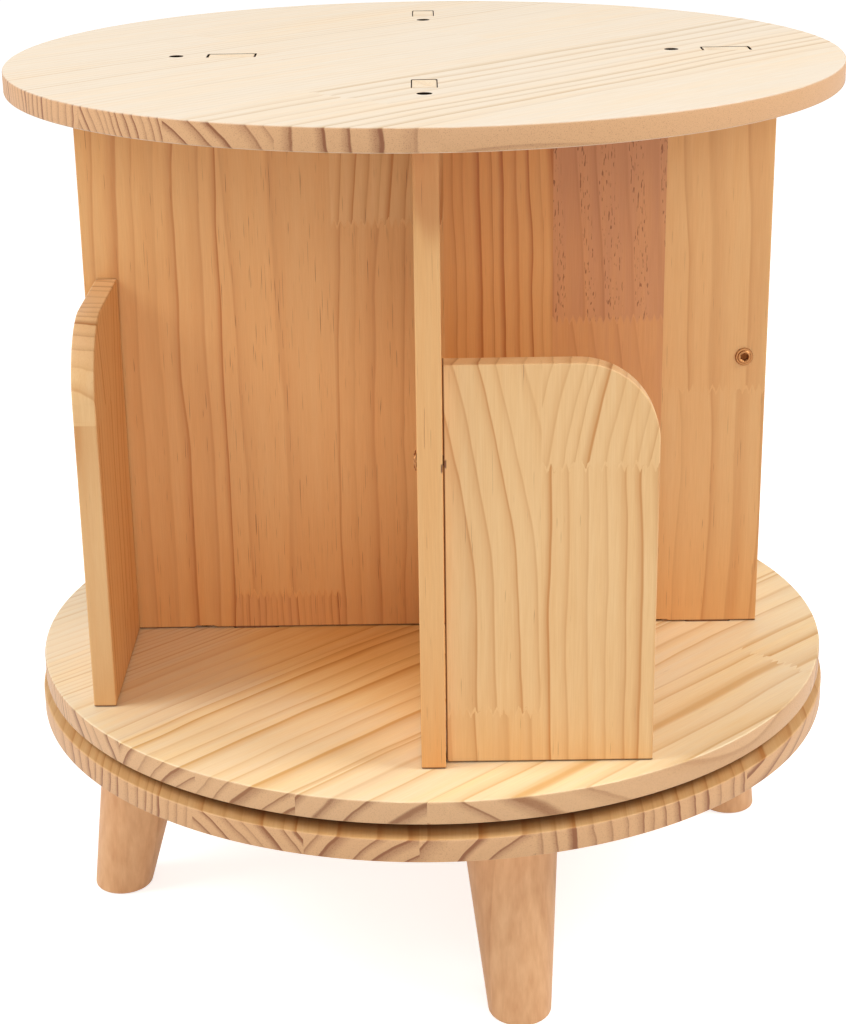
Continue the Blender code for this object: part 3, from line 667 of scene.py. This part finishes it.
def disc(radius, low, high, holes):
    """A round board with a well rounded rim, and with sharper holes whose walls carry painted shade."""
    mesh, bm = sheet([circle((0, 0), radius, RIM_STEPS)] + holes, high - low, 0.0)
    rim = []
    for edge in bm.edges:
        outside = all(vert.co.xy.length > radius - RIM_TOLERANCE for vert in edge.verts)
        if outside and edge.calc_face_angle(0) > 1:
            rim.append(edge)
    bmesh.ops.bevel(bm, geom=rim, offset=DISC_ARRIS, segments=3, profile=0.5, affect="EDGES")
    # The walls of the holes take the second material, painted shade.
    for face in bm.faces:
        inside = all(vert.co.xy.length < radius - 2 * DISC_ARRIS for vert in face.verts)
        if inside and abs(face.normal.z) < 0.5:
            face.material_index = 1
    mesh.materials.append(hole_painted_shade)
    mesh.materials.append(hole_painted_shade)
    return finish_mesh(mesh, bm, Matrix.Translation((0, 0, (low + high) / 2)))


def divider_edge(level, tip, slot_level, relief_level):
    """A divider's lower or upper edge from left to right, with its tenons, lap slot and screw reliefs."""
    steps = [(-NEAR_TENON, TENON_LENGTH / 2, tip, 0), (FAR_TENON, TENON_LENGTH / 2, tip, 0)]
    if slot_level is not None:
        steps.append((0, DIVIDER_THICKNESS / 2 + LAP_GAP, slot_level, 0))
    if relief_level is not None:
        for centre in (-SCREW_CIRCLE, SCREW_CIRCLE):
            steps.append((centre, SCREW_RELIEF_WIDTH / 2, relief_level, SCREW_RELIEF_SLOPE))
    points = [(-DIVIDER_WIDTH / 2, level)]
    for centre, half, reach, slope in sorted(steps):
        points += [(centre - half, level), (centre - half + slope, reach)]
        points += [(centre + half - slope, reach), (centre + half, level)]
    return points + [(DIVIDER_WIDTH / 2, level)]


def divider(slot_above, place):
    """A divider board with its tenons and its half of the lap."""
    low = TURNTABLE_HIGH + SEAT
    high = TOP_LOW - SEAT
    middle = (low + high) / 2
    lower_slot = None if slot_above else middle + LAP_GAP / 2
    upper_slot = middle - LAP_GAP / 2 if slot_above else None
    outline = divider_edge(low, TURNTABLE_LOW + TENON_RECESS, lower_slot, low + SCREW_RELIEF_HEIGHT)
    outline += divider_edge(high, TOP_HIGH - TENON_RECESS, upper_slot, None)[::-1]
    mesh, bm = sheet([outline], DIVIDER_THICKNESS, DIVIDER_ARRIS)
    return finish_mesh(mesh, bm, upright(place))


def stop(place):
    """A book stop with a large round at its outer top corner."""
    low = TURNTABLE_HIGH + SEAT
    foot = (STOP_INNER + STOP_INNER_ROUND, low + STOP_INNER_ROUND)
    shoulder = (STOP_OUTER - STOP_TOP_ROUND, STOP_HIGH - STOP_TOP_ROUND)
    loop = arc(foot, STOP_INNER_ROUND, 2 * QUARTER, 3 * QUARTER, STOP_FOOT_STEPS)
    loop.append((STOP_OUTER, low))
    loop += arc(shoulder, STOP_TOP_ROUND, 0, QUARTER, STOP_ROUND_STEPS)
    loop.append((STOP_INNER, STOP_HIGH))
    mesh, bm = sheet([loop], STOP_THICKNESS, STOP_ARRIS)
    return finish_mesh(mesh, bm, upright(place @ Matrix.Translation((0, -STOP_CIRCLE, 0))))


def leg(place):
    """A round, tapered leg, sheared outwards so that both its ends stay level."""
    taper = (LEG_TOP_RADIUS - LEG_FOOT_RADIUS) / LEG_HEIGHT
    profile = [(LEG_FOOT_RADIUS - LEG_FOOT_ROUND, 0.0, False)]
    for step in range(1, LEG_FOOT_STEPS + 1):
        angle = QUARTER * step / LEG_FOOT_STEPS
        height = LEG_FOOT_ROUND * (1 - math.cos(angle))
        inset = LEG_FOOT_ROUND * (1 - math.sin(angle))
        profile.append((LEG_FOOT_RADIUS + taper * height - inset, height, False))
    profile.append((LEG_TOP_RADIUS, LEG_HEIGHT, False))
    lean = Matrix.Identity(4)
    lean[0][2] = -math.tan(LEG_SPLAY)
    lean[0][3] = LEG_FOOT_CIRCLE
    return lathe(profile, LEG_STEPS, place @ lean)


def stop_screw(place):
    """A furniture screw: a flange with a raised inner ring and a hexagon socket whose faces carry painted
    shade, on a plain neck.
    """
    profile = [
        (0.0022, 0.0002, True),
        (0.0023, 0.0012, True),
        (0.0026, 0.0016, False),
        (0.0034, 0.0016, False),
        (0.0037, 0.0013, False),
        (0.0039, 0.0010, False),
        (0.0046, 0.0010, False),
        (0.0050, 0.0008, False),
        (0.0051, 0.0006, False),
        (0.0051, 0.0003, False),
        (0.0034, 0.0003, False),
        (0.0034, -0.0124, False),
        (0.0024, -0.0128, False),
        (0.0024, -0.0444, False),
        (0.0004, -0.0484, False),
    ]
    mesh = lathe(profile, STOP_SCREW_STEPS, place)
    mesh.materials.append(socket_painted_shade)
    mesh.materials.append(socket_painted_shade)
    # The socket's faces get the darker metal, as painted shade for the hollow.
    for face in mesh.polygons:
        between_first_two_rings = max(face.vertices) < 2 * STOP_SCREW_STEPS
        if between_first_two_rings:
            face.material_index = 1
    return mesh


def top_screw(place):
    """A countersunk screw with a hexagon socket."""
    profile = [
        (0.0014, -0.0016, True),
        (0.0015, -0.0002, True),
        (0.0017, 0.0, False),
        (0.0034, 0.0, False),
        (0.0036, -0.0002, False),
        (0.0036, -0.0004, False),
        (0.0020, -0.0026, False),
        (0.0020, -0.0360, False),
        (0.0003, -0.0400, False),
    ]
    return lathe(profile, TOP_SCREW_STEPS, place)


# Finishes

# Painted shade for the walls of holes and mortises
hole_painted_shade = painted_hole_shade("hole_painted_shade")
diagonal = (CROSS_GRAIN, UP, GRAIN)
top_pine = pine("top_pine", diagonal, (TOP_LOW + TOP_HIGH) / 2, TOP_STAVES, rim=1.0)
turntable_pine = pine(
    "turntable_pine",
    diagonal,
    (TURNTABLE_LOW + TURNTABLE_HIGH) / 2,
    TURNTABLE_STAVES,
    rim=0.9,
    tone_at=turntable_painted_shade,
    colours=(TURNTABLE_EARLY, TURNTABLE_LATE),
)
base_pine = pine(
    "base_pine",
    (X, UP, Y),
    (BASE_LOW + BASE_HIGH) / 2,
    BASE_STAVES,
    rim=0.95,
    shade_at=shade_base,
)
divider_x_pine = pine(
    "divider_x_pine",
    (X, Y, UP),
    0.0,
    DIVIDER_STAVES,
    tone_at=divider_tone_and_painted_shade,
    shade_at=lambda g, place: shade_divider(g, place, X, Y),
)
divider_y_pine = pine(
    "divider_y_pine",
    (Y, X, UP),
    0.0,
    DIVIDER_STAVES,
    tone_at=divider_tone_and_painted_shade,
    shade_at=lambda g, place: shade_divider(g, place, Y, LEFT),
)
leg_pine = pine("leg_pine", (X, Y, UP), 0.0, LEG_STAVES, figure=6.0, colours=(LEG_EARLY, LEG_LATE))
dowel_pine = pine("dowel_pine", (X, Y, UP), 0.0, LEG_STAVES)
yellow_zinc = metal("yellow_zinc", linear(178, 124, 78), 0.32, 900.0)
# Darker metal for screw sockets, as painted shade
socket_painted_shade = metal("socket_painted_shade", linear(112, 62, 30), 0.45, 900.0)
zinc_steel = metal("zinc_steel", linear(200, 202, 204), 0.34, 700.0)
ball_steel = metal("ball_steel", linear(224, 225, 226), 0.16, 900.0)
aluminium = metal("aluminium", linear(214, 216, 220), 0.4, 400.0)
nylon = plastic("nylon", linear(236, 232, 220))

# Pieces

mortises = [mortise(index) for index in range(4)]
screw_holes = hole_circle(SCREW_CIRCLE, SCREW_HOLE_RADIUS, 0.0)
leg_head_circle = LEG_FOOT_CIRCLE - LEG_HEIGHT * math.tan(LEG_SPLAY)
tee_nut_holes = hole_circle(leg_head_circle, TEE_NUT_HOLE_RADIUS, LEG_TURN)
top_mesh = disc(TOP_RADIUS, TOP_LOW, TOP_HIGH, mortises + screw_holes)
turntable_holes = mortises + screw_holes + dowel_holes()
turntable_mesh = disc(TURNTABLE_RADIUS, TURNTABLE_LOW, TURNTABLE_HIGH, turntable_holes)
base_mesh = disc(BASE_RADIUS, BASE_LOW, BASE_HIGH, tee_nut_holes)
show("top", top_mesh, "carousel", top_pine, ["top_board"])
show("turntable", turntable_mesh, "carousel", turntable_pine, ["turntable_board"])
show("base", base_mesh, "base", base_pine, ["base_board"])
show(
    "divider_x",
    divider(False, Matrix.Identity(4)),
    "carousel",
    divider_x_pine,
    ["divider_left_right"],
)
show(
    "divider_y",
    divider(True, quarter_turn(1)),
    "carousel",
    divider_y_pine,
    ["divider_front_back"],
)
for index, quarter in enumerate(QUARTERS):
    turn = quarter_turn(index)
    across = tuple(turn @ Vector(X))
    through = tuple(turn @ Vector(Y))
    wood = pine(
        f"stop_{quarter}_pine",
        (across, through, UP),
        -STOP_CIRCLE,
        STOP_STAVES,
        rim=0.45,
        sides=0.0,
        shade_at=lambda g, place: shade_stop(g, place, across),
    )
    show(f"book_stop_{quarter}", stop(turn), "carousel", wood, [f"stop_{quarter}"])
    screw_place = turn @ Matrix.Translation((-DIVIDER_THICKNESS / 2, -STOP_CIRCLE, STOP_SCREW_LEVEL))
    bolt = stop_screw(screw_place @ Matrix.Rotation(-QUARTER, 4, "Y"))
    show(f"stop_bolt_{quarter}", bolt, "carousel", yellow_zinc, [f"stop_screw_{quarter}"])
    bolt = top_screw(turn @ Matrix.Translation((0, -SCREW_CIRCLE, TOP_HIGH - SCREW_RECESS)))
    show(f"top_bolt_{quarter}", bolt, "carousel", yellow_zinc, [f"top_screw_{quarter}"])
    leg_place = Matrix.Rotation(LEG_TURN + QUARTER * (index - 1), 4, "Z")
    show(f"turned_leg_{quarter}", leg(leg_place), "base", leg_pine, [f"leg_{quarter}"])

for name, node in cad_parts.items():
    if name.startswith("turntable_screw"):
        finish = yellow_zinc
    elif name.startswith("stop_dowel"):
        finish = dowel_pine
    elif name.startswith("bearing"):
        finish = aluminium
    elif name == "ball_cage":
        finish = nylon
    elif name.startswith("ball_"):
        finish = ball_steel
    elif name.startswith(("leg_bolt", "tee_nut")) or "ring_screw" in name:
        finish = zinc_steel
    else:
        continue
    for slot in node.material_slots:
        slot.material = finish

# Floor, light and camera

FLOOR = -0.0002
FLOOR_REACH = 12.0
FLOOR_GREY = 0.72
FLOOR_GLOW = 0.72
SKY_FILL = 0.44
SKY_SEEN = 1.0


def floor_material():
    """A pale floor that shows white to the camera, and keeps the object's shadow."""
    g = material_graph("floor_pale")
    g.shader.inputs["Base Color"].default_value = (FLOOR_GREY, FLOOR_GREY, FLOOR_GREY, 1.0)
    g.shader.inputs["Roughness"].default_value = 0.9
    g.shader.inputs["Specular IOR Level"].default_value = 0.0
    g.shader.inputs["Emission Color"].default_value = (1.0, 1.0, 1.0, 1.0)
    g.put(g.shader.inputs["Emission Strength"], g.times(g.seen(), FLOOR_GLOW))
    return g.owner


floor_signs = ((-1, -1), (1, -1), (1, 1), (-1, 1))
floor_corners = [(side * FLOOR_REACH, end * FLOOR_REACH, FLOOR) for side, end in floor_signs]
floor_mesh = bpy.data.meshes.new("floor")
floor_mesh.from_pydata(floor_corners, [], [(0, 1, 2, 3)])
floor_mesh.materials.append(floor_material())
floor = bpy.data.objects.new("floor", floor_mesh)
bpy.context.scene.collection.objects.link(floor)

world = bpy.data.worlds.new("studio")
bpy.context.scene.world = world
sky = Graph(world)
sky_shader = sky.tree.nodes["Background"]
sky_shader.inputs["Color"].default_value = (1.0, 1.0, 1.0, 1.0)
sky.put(sky_shader.inputs["Strength"], sky.fit(sky.seen(), 0, 1, SKY_FILL, SKY_SEEN, kind="LINEAR"))


def softbox(name, place, target, size, power):
    """A round area lamp, in metres and watts, that looks at a target."""
    light = bpy.data.lights.new(name, "AREA")
    light.shape = "DISK"
    light.size = size
    light.energy = power
    obj = bpy.data.objects.new(name, light)
    obj.location = place
    obj.rotation_euler = (Vector(target) - Vector(place)).to_track_quat("-Z", "Y").to_euler()
    bpy.context.scene.collection.objects.link(obj)


softbox("left", place=(-1.7, -0.4, 1.75), target=(0, 0, 0.25), size=1.2, power=28.0)
softbox("right", place=(1.7, -0.35, 1.75), target=(0, 0, 0.25), size=1.2, power=26.5)
softbox("front", place=(0.3, -2.6, 0.9), target=(0, 0, 0.3), size=1.4, power=14.5)

CAMERA_PLACE = (-0.0009, -1.1719, TOP_HIGH + 0.1704)
CAMERA_PAN = math.radians(-0.158)
CAMERA_TILT = math.radians(20.393)
CAMERA_ROLL = math.radians(0.870)
FOCAL_PIXELS = 2138.7
FRAME_HEIGHT = 1024

forward = Vector(
    (
        math.sin(CAMERA_PAN) * math.cos(CAMERA_TILT),
        math.cos(CAMERA_PAN) * math.cos(CAMERA_TILT),
        -math.sin(CAMERA_TILT),
    )
)
level = Vector((math.cos(CAMERA_PAN), -math.sin(CAMERA_PAN), 0))
down = forward.cross(level)
right = math.cos(CAMERA_ROLL) * level + math.sin(CAMERA_ROLL) * down
down = -math.sin(CAMERA_ROLL) * level + math.cos(CAMERA_ROLL) * down
lens = bpy.data.cameras.new("camera")
lens.sensor_fit = "VERTICAL"
lens.sensor_height = 36.0
lens.lens = FOCAL_PIXELS * lens.sensor_height / FRAME_HEIGHT
lens.clip_end = 50.0
camera = bpy.data.objects.new("camera", lens)
aim = Matrix((right, -down, -forward)).transposed()
camera.matrix_world = Matrix.Translation(CAMERA_PLACE) @ aim.to_4x4()
bpy.context.scene.collection.objects.link(camera)
bpy.context.scene.camera = camera
bpy.context.scene.view_settings.view_transform = "Standard"
